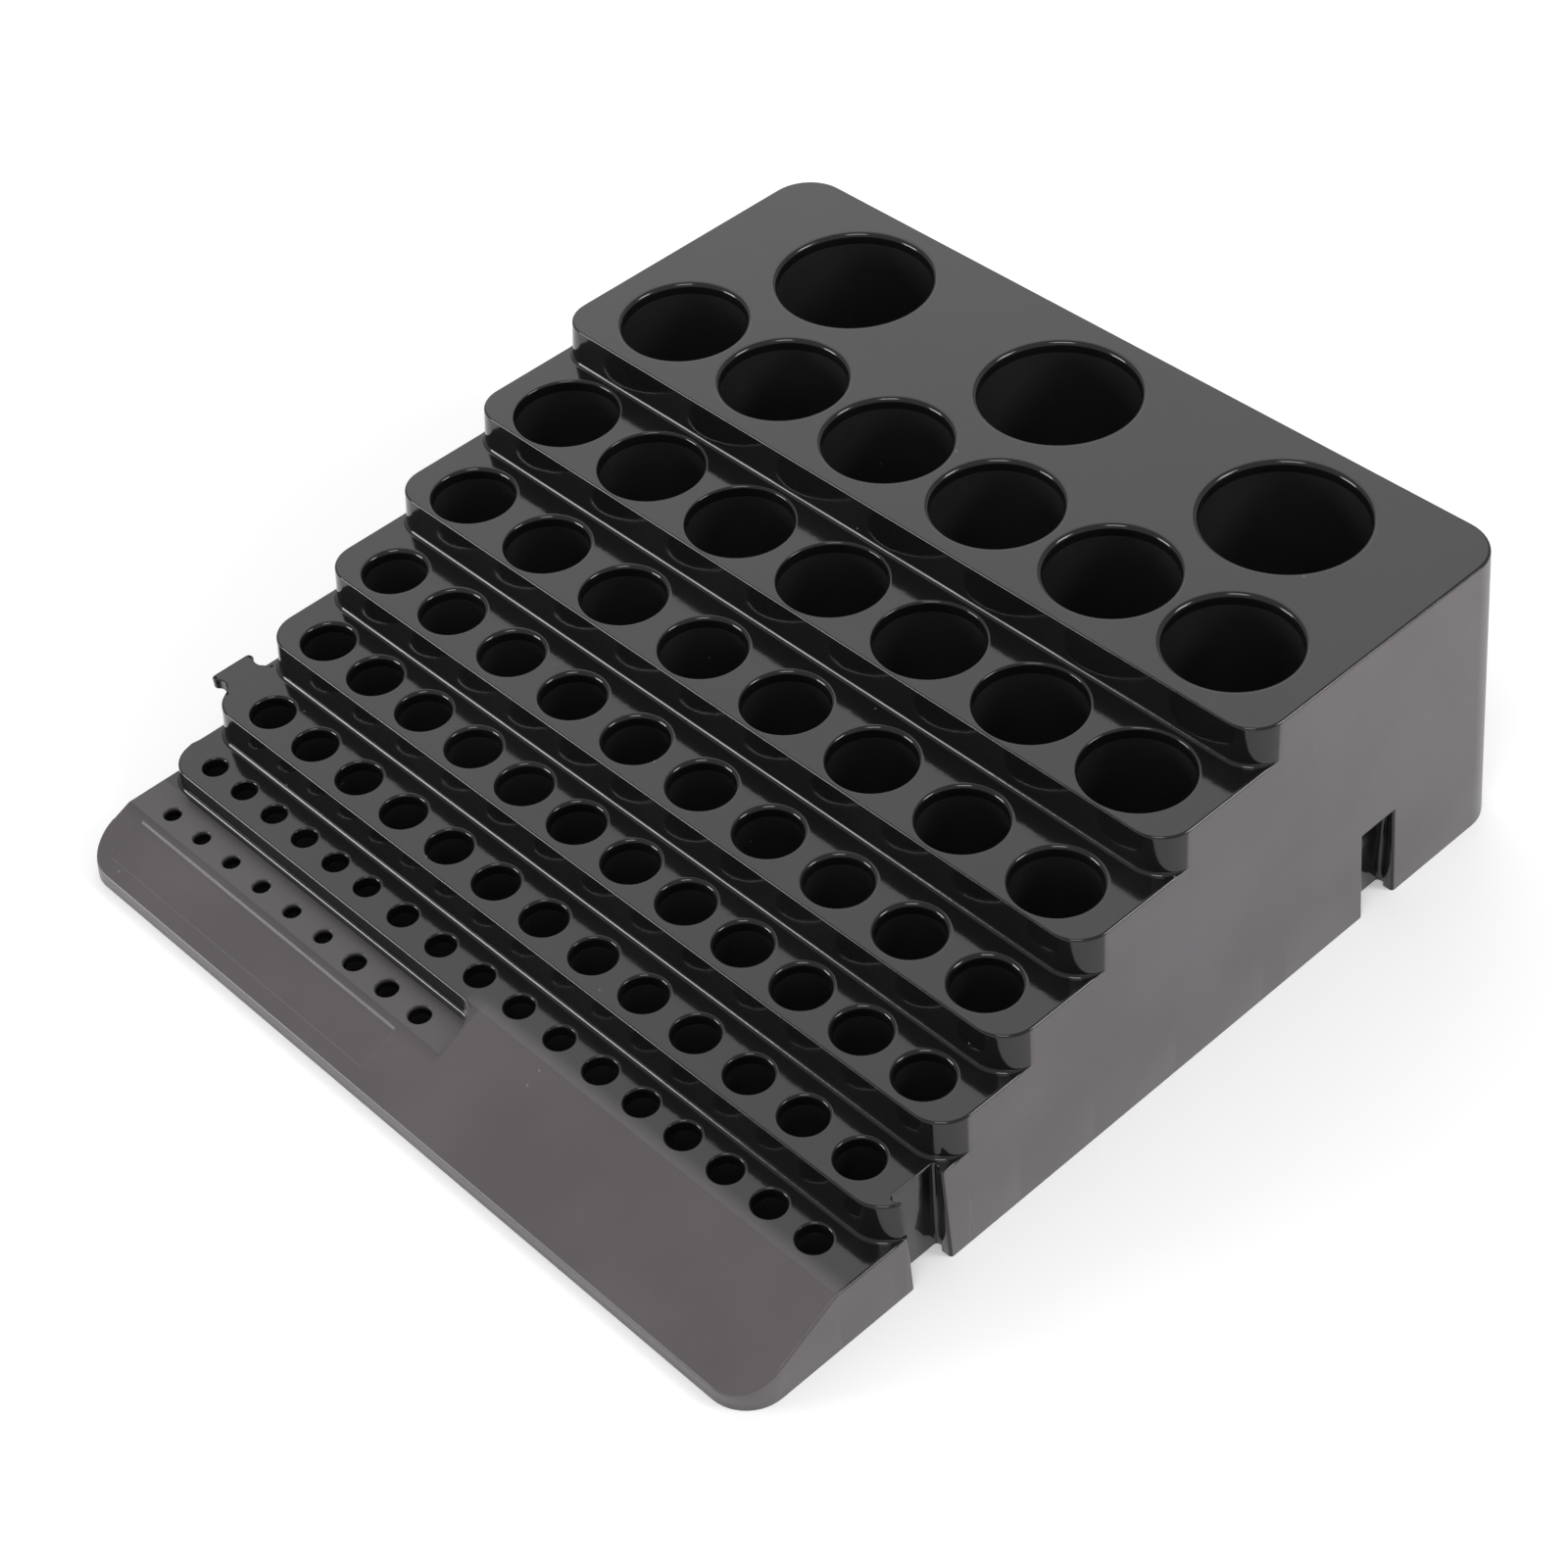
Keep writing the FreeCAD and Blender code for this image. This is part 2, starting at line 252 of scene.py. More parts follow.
def slot_columns(middle, lean):
    """Outline of a slot from its rear lip to its front lip.

    The lips and the inner corners are quarter circles; x of the lips is
    measured from the leaning side, x of the rest is fixed. Each part below
    gives both kinds of x, y, the outward direction and which x holds.
    """
    a = np.radians(np.linspace(0, 90, 5))
    c, s = np.cos(a), np.sin(a)
    corner = SLOT_X + SLOT_CORNER
    parts = [
        (LIP * (c - 1), 0, THROAT + LIP - LIP * s, c, -s, 1),
        (0, THROAT_X, THROAT, 0, -1, 0),
        (0, HEAD_X, HEAD, 0, -1, 0),
        (0, corner - SLOT_CORNER * s, HEAD - SLOT_CORNER + SLOT_CORNER * c, s, -c, 0),
        (0, corner - SLOT_CORNER * c, -HEAD + SLOT_CORNER - SLOT_CORNER * s, c, s, 0),
        (0, HEAD_X, -HEAD, 0, 1, 0),
        (0, THROAT_X, -THROAT, 0, 1, 0),
        (LIP * (s - 1), 0, -THROAT - LIP + LIP * c, s, c, 1)]
    table = [np.stack(np.broadcast_arrays(*part)).reshape(len(part), -1) for part in parts]
    x_side, x_own, y, nx, ny, follows = np.hstack(table)
    spread = np.linspace(THROAT + LIP, -THROAT - LIP, len(y))
    drop = np.where(y + middle < lean, STEP_CORNER - np.sqrt(
        np.clip(STEP_CORNER**2 - np.clip(lean - y - middle, 0, None) ** 2, 0, None)), 0)
    return dict(off=x_side - follows * drop, own=x_own, y=y + middle, nx=nx, ny=ny,
                follows=follows, spread=spread + middle)


def tier_columns(tier, inset=0.0):
    """Arrays that describe every column of one tier's outline, clockwise from the rear right corner.

    off and own are x from the leaning side and x of its own; follows says which of the two
    holds. front and back say whether y counts from the front face or from the rear one.
    """
    radius = (NOSE_CORNER if tier == 1 else STEP_CORNER) - inset
    rear = REAR_CORNER - inset
    parts = []

    def put(kind, sx, off, y, front, back, nx, ny, own=0.0, follows=1.0, spread=None):
        values = dict(sx=sx, off=off, y=y, front=front, back=back, nx=nx, ny=ny, own=own,
                      follows=follows, spread=y if spread is None else spread, kind=kind)
        parts.append({key: np.broadcast_to(np.asarray(v, float), len(y)) for key, v in values.items()})

    def arc(side, at_front, t):
        c, s = np.cos(t), np.sin(t)
        r = radius if at_front else rear
        put(FRONT if at_front else BACK, side, -r * (1 - c), r * (1 - s) if at_front else -r * (1 - s),
            float(at_front), float(not at_front), side * c, -s if at_front else s)

    quarter = np.radians(np.linspace(0, 90, 13))
    slot_kind = {"rear": SLOT_REAR, "front": SLOT_FRONT}
    first = 0.0
    right = side_stations(tier, True, inset)
    left = side_stations(tier, False, inset)
    arc(1.0, False, quarter[::-1])
    for name in ("rear", "front") if tier <= 2 else ("rear",) if inset and tier == 3 else ():
        middle, reach = LINKS[name], POCKET_REACH if inset else THROAT + LIP
        high, low = middle + reach, middle - reach
        put(RIGHT, 1.0, 0.0, right[right > high + CLEAR], 0.0, 0.0, 1.0, 0.0)
        right = right[right < low - CLEAR]
        if inset:
            joins = 1.0 if name == "rear" or tier == 1 else 0.0
            put(slot_kind[name], 1.0, 0.0, np.array([high, high, low, low]), 0.0, 0.0, 1.0, 0.0,
                SLOT_X - POCKET_WALL, np.array([1.0, 0.0, 0.0, joins]), np.linspace(high, low, 4))
        else:
            slot = slot_columns(middle, EDGES[2] + radius if tier == 2 else -1e9)
            put(slot_kind[name], 1.0, slot["off"], slot["y"], 0.0, 0.0, slot["nx"], slot["ny"],
                slot["own"], slot["follows"], slot["spread"])
        if tier == 2 and name == "front":
            face = EDGES[2] + (RISER_WALL if inset else 0.0)
            first = math.asin((face + radius - low) / radius)
    put(RIGHT, 1.0, 0.0, right, 0.0, 0.0, 1.0, 0.0)
    arc(1.0, True, first + (math.pi / 2 - first) * np.linspace(0, 1, 13))
    arc(-1.0, True, quarter[::-1])
    put(LEFT, -1.0, 0.0, left[::-1], 0.0, 0.0, -1.0, 0.0)
    arc(-1.0, False, quarter)
    return {key: np.concatenate([part[key] for part in parts]) for key in parts[0]}


def outline(tier, cols, z, inset=0.0, front_inset=None, rear_slot=True):
    """Plan points of a tier at height z (one value, or one for each column)."""
    front_inset = inset * WALL_ACROSS / WALL if front_inset is None else front_inset
    side = half_width(z) - inset * WALL_ACROSS / WALL
    x = cols["sx"] * (cols["follows"] * side + cols["off"]) + (1 - cols["follows"]) * cols["own"]
    y = cols["y"] + cols["front"] * (front_line(tier, z) + front_inset)
    y = y + cols["back"] * (REAR_Y - REAR_SLOPE * z - inset)
    nx, ny = cols["nx"], cols["ny"]
    if not rear_slot:
        flat = cols["kind"] == SLOT_REAR
        x = np.where(flat, side, x)
        y = np.where(flat, cols["spread"], y)
    return np.stack([x, y], -1), np.stack([nx, ny], -1)


print("half width at the table and at the deck", half_width(0.0), round(half_width(top_of(DECK)), 2))

# %% [markdown]
# A tread gets narrower and ends in a point where the next tier's rounded
# corner meets the side. The rounding of the edges has to fade out there, so
# the side needs closely spaced columns just in front of each such point.

# %% Columns along the sides
TAPER = np.array([0.0, 0.5, 1.0, 1.5, 2.1, 2.7, 3.4, 4.2, 5.2, 7.0])
BEND = 0.28
BEND_STEPS = np.array([BEND * 1.3, BEND, BEND / 2, 0.0, -BEND / 2, -BEND, -BEND * 1.3])
TIP_ONE = TERRACE_FOOT + STEP_CORNER
HAIR = 0.001
SIDE_STOPS = [-60.0, -92.0]


def bend(v, half=BEND):
    """How far a tread that turns into the ramp has dropped, v in front of the turn: a parabola."""
    v = np.asarray(v, float)
    return np.where(v > half, 0.0, np.where(v < -half, -RAMP * v, RAMP * (half - v) ** 2 / (4 * half)))


def ground(y):
    """Height of the ramp and the first tread at depth y, with a soft turn between them."""
    return FIRST_TREAD - bend(y - EDGES[1])


def side_stations(tier, right, inset=0.0):
    """Depths of the columns along one side, from the rear to the front."""
    if inset:
        spots = [EDGES[k] + STEP_CORNER for k in range(tier + 1, DECK + 1)]
        if tier == 1:
            inner = TERRACE_FOOT + WALL
            spots += SIDE_STOPS + [inner + CLEAR, inner, UNDER_TERRACE, UNDER_TERRACE - CLEAR]
            spots += [UNDER_TREAD + CLEAR, UNDER_TREAD] if right else []
        return -np.unique(-np.array(spots))
    spots = [EDGES[tier] + STEP_CORNER] if tier > 1 else []
    for k in range(2, DECK + 1):
        point = foot_line(k) + STEP_CORNER
        spots += list(point - TAPER) + [EDGES[k] + STEP_CORNER]
    spots = np.array(spots)
    if tier > 1:
        spots = spots[spots >= EDGES[tier] + STEP_CORNER - 1e-9]
    else:
        spots = spots[spots > EDGES[1] + 1.0]
        ends = FRONT_Y + SLOPE * 4 + NOSE_CORNER
        ramp = np.linspace(ends + 0.5, TERRACE_FRONT - 1.0, 4)
        more = EDGES[1] + BEND_STEPS if right else np.concatenate([
            TIP_ONE + [1.8, 1.2, 0.6], TIP_ONE - TAPER, [TIP_ONE - HAIR], TERRACE_FRONT + BEND_STEPS])
        spots = np.concatenate([spots, more, ramp])
    return -np.unique(np.round(-spots, 6))


COSINE = math.cos(math.atan(RAMP))
UNDER_TREAD = EDGES[1] + (WALL / COSINE - WALL) / RAMP
UNDER_TERRACE = TERRACE_FRONT + (WALL / COSINE - WALL) / RAMP
print("columns on tier 1 and 7", len(tier_columns(1)["y"]), len(tier_columns(7)["y"]))

# %% [markdown]
# Now the walls. Every tier is one closed band: its rounded top edge, its
# leaning face and a small hollow curve where it stands on the tread below.
# The rounding is a quarter circle carried along the outline, kept as pairs of how
# far in and how far down. Its radius is an array, so that it can fade to nothing
# where a tread ends in a point.

# %% Bands of the outer walls
ROUNDING = [(1 - math.sin(a), 1 - math.cos(a)) for a in np.radians(np.linspace(0, 90, 6))]
NARROW = 0.36


def side_gap(y, point):
    """Width of a tread beside the next tier's rounded corner, which ends at depth point."""
    s = np.clip(point - y, 0, STEP_CORNER)
    gap = STEP_CORNER - np.sqrt(STEP_CORNER**2 - s**2)
    return np.where(y < point - STEP_CORNER, 1e3, gap)


def edge_radius(tier, cols):
    """Radius of the top edge for each column: full on open edges, fading along a tread's tip."""
    radius = EDGE_SOFT + (SIDE_SOFT - EDGE_SOFT) * np.abs(cols["nx"])
    if tier == DECK:
        return radius
    kind, y = cols["kind"], cols["y"]
    beside = NARROW * side_gap(y, foot_line(tier + 1) + STEP_CORNER)
    radius = np.where(np.isin(kind, (RIGHT, LEFT)), np.minimum(radius, beside), radius)
    if tier == 1:
        fade = np.where(y > TIP_ONE - HAIR / 2, 0.25 * (y - TIP_ONE), NARROW * side_gap(y, TIP_ONE))
        radius = np.where(kind == LEFT, np.clip(fade, 0, radius), radius)
    radius = np.where((kind == BACK) | (kind == SLOT_REAR), 0.0, radius)
    if tier == 1:
        return np.where(kind == SLOT_FRONT, 0.0, np.where(kind == FRONT, EDGE_SOFT, radius))
    return np.where(kind == SLOT_FRONT, EDGE_SOFT, radius)


def foot_radius(tier, cols):
    """Radius of the hollow at a tier's foot: only along its front and its rounded corners."""
    inward = 1 - np.abs(cols["nx"])
    return np.where(cols["kind"] == FRONT, np.minimum(FOOT_SOFT, NARROW * STEP_CORNER * inward), 0.0)


def step_band(tier):
    """Rows of points from just inside the tread's edge down to just outside the tier's foot."""
    cols = tier_columns(tier)
    top, low = top_of(tier), top_of(tier - 1)
    r, f = edge_radius(tier, cols), foot_radius(tier, cols)
    rows = []

    def row(z, d, rear_slot=True):
        plan, normal = outline(tier, cols, z, rear_slot=rear_slot)
        z = np.broadcast_to(z, len(plan))
        rows.append(np.column_stack([plan - normal * np.asarray(d)[..., None], z]))

    upper = tier != 2
    row(top, r * (1 + STRIP), upper)
    for inward, drop in ROUNDING:
        row(top - r * drop, r * inward, upper)
    row(top - r * (1 + STRIP), 0 * r, upper)
    if tier == 2:
        row(REAR_SLOT_TOP, 0 * r, False)
        row(REAR_SLOT_TOP, 0 * r, True)
    row(low + f * (1 + STRIP), 0 * r)
    for up, out in ROUNDING:
        row(low + f * up, -f * out)
    row(low, -f * (1 + STRIP))
    return cols, np.stack(rows)


def low_band():
    """The lowest tier: its top edge follows the ramp, the terrace and the first tread."""
    cols = tier_columns(1)
    r = edge_radius(1, cols)
    kind, y = cols["kind"], cols["y"]
    level = np.where(kind == RIGHT, ground(y), FIRST_TREAD)
    left = np.where(y > TIP_ONE - HAIR / 2, FIRST_TREAD, TERRACE_TOP - bend(y - TERRACE_FRONT))
    level = np.where(kind == LEFT, left, level)
    nose = kind == FRONT
    rows = []
    for inward, drop in [(1 + STRIP, 0.0)] + ROUNDING + [(0.0, 1 + STRIP)]:
        z = level - r * drop
        for _ in range(4):
            plan, normal = outline(1, cols, z)
            plan = plan - normal * (r * inward)[:, None]
            z = np.where(nose, ground(plan[:, 1]), level) - r * drop
        rows.append(np.column_stack([plan, z]))
    plan, _ = outline(1, cols, 0.0)
    rows.append(np.column_stack([plan, np.zeros(len(plan))]))
    return cols, np.stack(rows)


shell = Skin()
bands = {1: low_band()}
shell.grid(bands[1][1])
for tier in range(2, DECK + 1):
    bands[tier] = step_band(tier)
    shell.grid(bands[tier][1])
print("band rows and columns", [b[1].shape[:2] for b in bands.values()])

# %% [markdown]
# The mouth of a socket is a small quarter circle turned about the socket's
# axis. The same profile, carried on down, is the socket's wall. Turning a
# profile keeps the mouth perfectly round, which a bevel on a cut edge may not.

# %% Socket mouths
def turned(profile, x, y, count):
    """Carries a profile of (radius, z) round the axis through (x, y).

    A point at angle a is the axis plus radius times (cos a, sin a). A radius
    or a height may also be an array with one value for each angle.
    """
    a = np.linspace(0, 2 * math.pi, count, endpoint=False)
    radius = np.stack([np.broadcast_to(r, count) for r, _ in profile])
    z = np.stack([np.broadcast_to(h, count) for _, h in profile])
    return np.stack([x + radius * np.cos(a), y + radius * np.sin(a), z], -1)


def sides_for(radius):
    """Points on a circle: more on a large one, so that no facet shows."""
    return 32 if radius < 3 else 48 if radius < 7 else 72


def mouth(skin, place, top):
    """Adds a socket's rounded mouth down to the underside of its tread.

    Returns the ring that the tread starts from. The rounding swells from near to far as
    half of one plus the sine of the angle.
    """
    x, y, radius, (near, far) = place
    count = sides_for(radius)
    soft = near + (far - near) * (0.5 + 0.5 * np.sin(np.linspace(0, 2 * math.pi, count, endpoint=False)))
    profile = [(radius + soft * (1 + STRIP), top)]
    profile += [(radius + soft * out, top - soft * drop) for out, drop in ROUNDING]
    profile += [(radius, top - soft * (1 + STRIP)), (radius, top - WALL)]
    rings = turned(profile, x, y, count)
    skin.grid(rings)
    return rings[0, :, :2]


def holes_on(step, skin):
    """Adds all mouths of a step and returns their rings."""
    rings = []
    for row in ROWS:
        if row[0] == step:
            rings += [mouth(skin, place, tread_height(step)) for place in sockets_of(row)]
    return rings


print("points on the smallest and the largest mouth", sides_for(1.8), sides_for(16.25))

# %% [markdown]
# A tread is what is left of a level plane between the edge of its own tier,
# the foot of the next one and the mouths of its sockets. Cutting the holes out
# of a plate would leave stray slivers; filling between the finished outlines
# shares every point with its neighbours, so no gap opens.

# %% Treads of steps 2 to 6 and the deck
FRONT_THROAT = 18


def tips(tier):
    """Numbers of the columns at a tread's right and left tips.

    The lowest tread ends on its right in the front slot, at that slot's column FRONT_THROAT.
    """
    cols = bands[tier][0]
    point = foot_line(tier + 1) + STEP_CORNER
    if tier == 1:
        right = np.where(cols["kind"] == SLOT_FRONT)[0][FRONT_THROAT]
    else:
        right = np.where((cols["kind"] == RIGHT) & (np.abs(cols["y"] - point) < 1e-4))[0][0]
    left = np.where((cols["kind"] == LEFT) & (np.abs(cols["y"] - point) < 1e-4))[0][0]
    return right, left


def next_foot(tier):
    """The line on which the next tier stands, from the tread's left tip back to its right tip."""
    cols, rows = bands[tier + 1]
    if tier == 1:
        start = np.where(cols["kind"] == SLOT_FRONT)[0][FRONT_THROAT]
    else:
        start = np.where(cols["kind"] == FRONT)[0][0]
    stop = np.where(cols["kind"] == FRONT)[0][-1]
    return rows[-1][start:stop + 1, :2][::-1]


for tier in range(2, DECK + 1):
    cols, rows = bands[tier]
    if tier == DECK:
        edge = rows[0][:, :2]
    else:
        right, left = tips(tier)
        edge = np.concatenate([rows[0][right:left + 1, :2], next_foot(tier)[1:-1]])
    shell.fill(edge, holes_on(tier, shell), top_of(tier))
print("points so far", shell.count)

# %% [markdown]
# The front has its own landscape: a ramp rises from a low nose, and in its
# left half a terrace is cut level for the thinnest bits. The terrace's back
# wall is again a profile carried along a path, round a corner and out to
# nothing where the ramp comes down to the terrace. The blank label field on the
# ramp is a shallow sunk panel. Its edge is a list of pairs: how far outside the
# field, and what share of the full depth.

# %% Terrace wall, ramp and first tread
LABEL = dict(left=6.6, length=81.0, near=3.6, width=9.3, depth=0.2, corner=0.5)
LABEL_PROFILE = [(0.5, 0.0), (0.3, 0.0), (0.18, 0.15), (0.0, 0.5),
                 (-0.18, 0.85), (-0.3, 1.0), (-0.45, 1.0)]
WALL_STOPS = [-60.0, -30.0]


def terrace_path():
    """Points of the terrace wall's foot with the direction away from the terrace.

    A quarter circle round step 1's left corner, a straight stretch, a quarter circle at the
    right end and a straight stretch forward, until the ramp comes down to the terrace.
    """
    left = np.radians([0, 4, 8, 13, 19, 26, 34, 43, 53, 64, 76, 90])
    start_x = -half_width(TERRACE_TOP) + STEP_CORNER
    cx, cy = TERRACE_END - TERRACE_CORNER, TERRACE_FOOT - TERRACE_CORNER
    reach = TERRACE_CORNER + EDGE_SOFT * (1 + STRIP)
    turn = EDGES[1] + BEND_STEPS
    angles = np.arcsin((turn - cy) / (reach + SLOPE * (ground(turn) - TERRACE_TOP)))
    more = np.linspace(angles[-1], 0, 9)[1:]
    angles = np.concatenate([[math.pi / 2], angles, more])
    end = np.array([0.35, 0.6, 0.8, 0.92, 1.0])
    x = np.concatenate([start_x - STEP_CORNER * np.cos(left), WALL_STOPS,
                        cx + TERRACE_CORNER * np.cos(angles), np.full(5, TERRACE_END)])
    y = np.concatenate([TIP_ONE - STEP_CORNER * np.sin(left), [TERRACE_FOOT] * 2,
                        cy + TERRACE_CORNER * np.sin(angles), cy + (TERRACE_FRONT - cy) * end])
    nx = np.concatenate([np.cos(left), [0.0] * 2, np.cos(angles), np.ones(5)])
    ny = np.concatenate([np.sin(left), [1.0] * 2, np.sin(angles), np.zeros(5)])
    corner = len(left) + 3
    return x, y, nx, ny, corner


def terrace_wall():
    """Rows from the terrace floor up the wall to the ground above, out of one profile."""
    px, py, nx, ny, corner = terrace_path()
    rise = np.clip(ground(py) - TERRACE_TOP, 0, None)
    rise[-1] = 0.0
    fade = np.where(px < -half_width(TERRACE_TOP) + STEP_CORNER, STEP_CORNER * (1 - nx), 1e3)
    along = np.where(fade < 1e2, STEP_CORNER * np.arccos(np.clip(nx, 0, 1)), 1e3)
    r = np.minimum(np.minimum(EDGE_SOFT, 0.3 * rise), 0.25 * along)
    f = np.minimum(np.minimum(FOOT_SOFT, 0.3 * rise), NARROW * fade)
    rows = []

    def row(offset, z=None, drop=None):
        level = np.broadcast_to(TERRACE_TOP if z is None else z, len(px)) + 0.0
        for _ in range(12):
            lean = SLOPE * (level - TERRACE_TOP) if offset is None or drop is not None else 0.0
            e = lean + (0 if offset is None else offset)
            x, y = px + e * nx, py + e * ny
            if drop is not None:
                level = np.where(rise > 0, ground(y) - drop, TERRACE_TOP)
        rows.append(np.stack([x, y, level], -1))

    row(-f * (1 + STRIP))
    for out, up in ROUNDING:
        row(-f * out, TERRACE_TOP + f * up)
    row(None, TERRACE_TOP + f * (1 + STRIP))
    row(0.0, drop=r * (1 + STRIP))
    for drop, out in ROUNDING:
        row(r * out, drop=r * drop)
    row(r * (1 + STRIP), drop=0.0 * r)
    return np.stack(rows), corner


wall, corner = terrace_wall()
shell.grid(wall, closed=False)
cols, rows = bands[1]
top_row, kind, side_y = rows[0], cols["kind"], cols["y"]


def at_depth(k, depth):
    """Number of the side column of one kind at a given depth."""
    found = np.where(kind == k)[0]
    return found[np.argmin(np.abs(side_y[found] - depth))]


turn_right = [at_depth(RIGHT, EDGES[1] + v) for v in BEND_STEPS]
turn_left = [at_depth(LEFT, TERRACE_FRONT + v) for v in BEND_STEPS]
outer = wall[-1]
turn_inner = outer[corner:corner + len(BEND_STEPS)]
shell.grid(np.stack([top_row[turn_right], turn_inner], 1), closed=False)
print("turn meets the wall within", np.abs(turn_inner[:, 1] - EDGES[1] - BEND_STEPS).max())

x_stops, share = np.array([-1.5, 0.0, 1.0, 1.5]), np.array([1.0, 0.6, 0.25, 0.0])
start = top_row[turn_left]
low_turn = np.zeros((len(BEND_STEPS), 5, 3))
low_turn[:, 0] = start
low_turn[:, 1:, 0] = x_stops
low_turn[:, 1:, 1] = TERRACE_FRONT + BEND_STEPS[:, None] * share
low_turn[:, 1:, 2] = TERRACE_TOP - bend(BEND_STEPS)[:, None] * share
shell.grid(low_turn, closed=False, flip=True)

right, left = tips(1)
tip_one = at_depth(LEFT, TIP_ONE)
tread_one = np.concatenate([
    top_row[right:turn_right[0] + 1, :2], outer[:corner + 1, :2][::-1],
    top_row[tip_one + 1:left + 1, :2], next_foot(1)[1:-1]])
shell.fill(tread_one, holes_on(1, shell), FIRST_TREAD)

near = RAMP_FOOT_Y + LABEL["near"] * COSINE
label_box = (LABEL["left"] - BASE_WIDTH / 2, LABEL["left"] - BASE_WIDTH / 2 + LABEL["length"], near,
             near + LABEL["width"] * COSINE)


def rounded_box(box, grow, corner, count=5):
    """A rectangle with rounded corners, counter-clockwise, grown outwards on all sides."""
    x0, x1, y0, y1 = np.array(box) + [corner, -corner, corner, -corner]
    a = np.radians(np.linspace(0, 90, count))
    parts = []
    for turn, (cx, cy) in enumerate([(x1, y1), (x0, y1), (x0, y0), (x1, y0)]):
        b = a + turn * math.pi / 2
        parts.append(np.stack([cx + (corner + grow) * np.cos(b), cy + (corner + grow) * np.sin(b)], -1))
    return np.concatenate(parts)


def on_ramp(plan, sunk=0.0):
    """Lifts plan points onto the ramp, or to a depth below it measured square to its surface."""
    return np.column_stack([plan, ground(plan[:, 1]) - sunk / COSINE])


label_loops = [rounded_box(label_box, grow, LABEL["corner"]) for grow, _ in LABEL_PROFILE]
label_sinks = [LABEL["depth"] * share for _, share in LABEL_PROFILE]
shell.grid(np.stack([on_ramp(loop, sunk) for loop, sunk in zip(label_loops, label_sinks)]))
shell.fill(label_loops[-1], [], lambda p: ground(p[:, 1]) - LABEL["depth"] / COSINE)

ramp_edge = np.concatenate([
    top_row[turn_right[-1]:turn_left[-1] + 1, :2], low_turn[-1, 1:, :2],
    outer[corner + len(BEND_STEPS) - 1:-1, :2][::-1]])
shell.fill(ramp_edge, [label_loops[0]], lambda p: ground(p[:, 1]))

terrace_edge = np.concatenate([
    top_row[turn_left[0]:tip_one, :2], wall[0, 1:, :2], low_turn[0, 1:-1, :2][::-1]])
shell.fill(terrace_edge, holes_on(TERRACE, shell), TERRACE_TOP)
print("points with the front", shell.count)

# %% [markdown]
# Underneath, the box is an open shell with walls of one thickness. The same
# outline functions, drawn in by that thickness and turned to face inwards,
# give the hollow side. A solidify step would be shorter, but it would tangle
# inside the narrow sockets.

# %% The hollow side and the rim it stands on
def under_ramp(y):
    """Height of the hollow's roof under the ramp and the first tread."""
    return np.minimum(FIRST_TREAD - WALL, FIRST_TREAD + RAMP * (y - EDGES[1]) - WALL / COSINE)


def hollow_band(tier):
    """Rows of a tier's inner walls, from its roof down to the tier below."""
    cols = tier_columns(tier, WALL)
    high = top_of(tier) - WALL
    low = 0.0 if tier == 1 else top_of(tier - 1) - WALL
    rows = []

    def row(z, rear_slot=True):
        plan, _ = outline(tier, cols, z, WALL, WALL if tier == 1 else RISER_WALL, rear_slot)
        rows.append(np.column_stack([plan, np.broadcast_to(z, len(plan))]))

    if tier == 1:
        y = outline(1, cols, 0.0, WALL, WALL)[0][:, 1]
        level = under_ramp(y)
        over = (y > UNDER_TERRACE - CLEAR / 2) & (y < TERRACE_FOOT + WALL + CLEAR / 2)
        row(np.where((cols["kind"] == LEFT) & over, TERRACE_TOP - WALL, level))
    else:
        row(high, tier < 3)
        if tier == 3:
            row(REAR_SLOT_TOP + POCKET_WALL, False)
            row(REAR_SLOT_TOP + POCKET_WALL, True)
    row(low)
    return cols, np.stack(rows)


hollows = {tier: hollow_band(tier) for tier in range(1, DECK + 1)}
for tier, (cols, rows) in hollows.items():
    shell.grid(rows, flip=True)


def cup_rings(step, grow):
    """Circles of all sockets on a step, at a distance grow outside their bores."""
    rings = []
    for row in ROWS:
        for x, y, radius, _ in sockets_of(row) if row[0] == step else []:
            rings.append(turned([(radius + grow, 0.0)], x, y, sides_for(radius))[0, :, :2])
    return rings


def foot_arcs(tier):
    """The front part of the hollow's outline at a tier's foot, from the left side back to the right."""
    cols, rows = hollows[tier]
    front = np.where(cols["kind"] == FRONT)[0]
    return rows[-1][front[0]:front[-1] + 1, :2][::-1]


for tier in range(2, DECK + 1):
    cols, rows = hollows[tier]
    edge = rows[0][:, :2]
    if tier < DECK:
        back = foot_arcs(tier + 1)
        edge = np.concatenate([edge[edge[:, 1] < back[0, 1] - CLEAR], back])
    shell.fill(edge, cup_rings(tier, SOCKET_WALL / 2), top_of(tier) - WALL, flip=True)

low_roof, terrace_roof = FIRST_TREAD - WALL, TERRACE_TOP - WALL
side_low = half_width(low_roof) - WALL_ACROSS
inner_end, inner_back = TERRACE_END + WALL, TERRACE_FOOT + WALL
back = foot_arcs(2)
pocket_front = LINKS["front"] - POCKET_REACH
shell.fill(np.concatenate([
    [[side_low, pocket_front], [side_low, UNDER_TREAD], [inner_end, UNDER_TREAD], [inner_end, inner_back],
     [-side_low, inner_back]], back]), cup_rings(1, SOCKET_WALL / 2), low_roof, flip=True)
cols, rows = hollows[1]
front = rows[0][rows[0][:, 1] < UNDER_TREAD + CLEAR / 2]
front = front[(front[:, 0] > 0) | (front[:, 1] < UNDER_TERRACE - CLEAR / 2)]
shell.fill(np.concatenate([front[:, :2], [[inner_end, UNDER_TERRACE], [inner_end, UNDER_TREAD]]]), [],
           lambda p: under_ramp(p[:, 1]), flip=True)
side_terrace = half_width(terrace_roof) - WALL_ACROSS
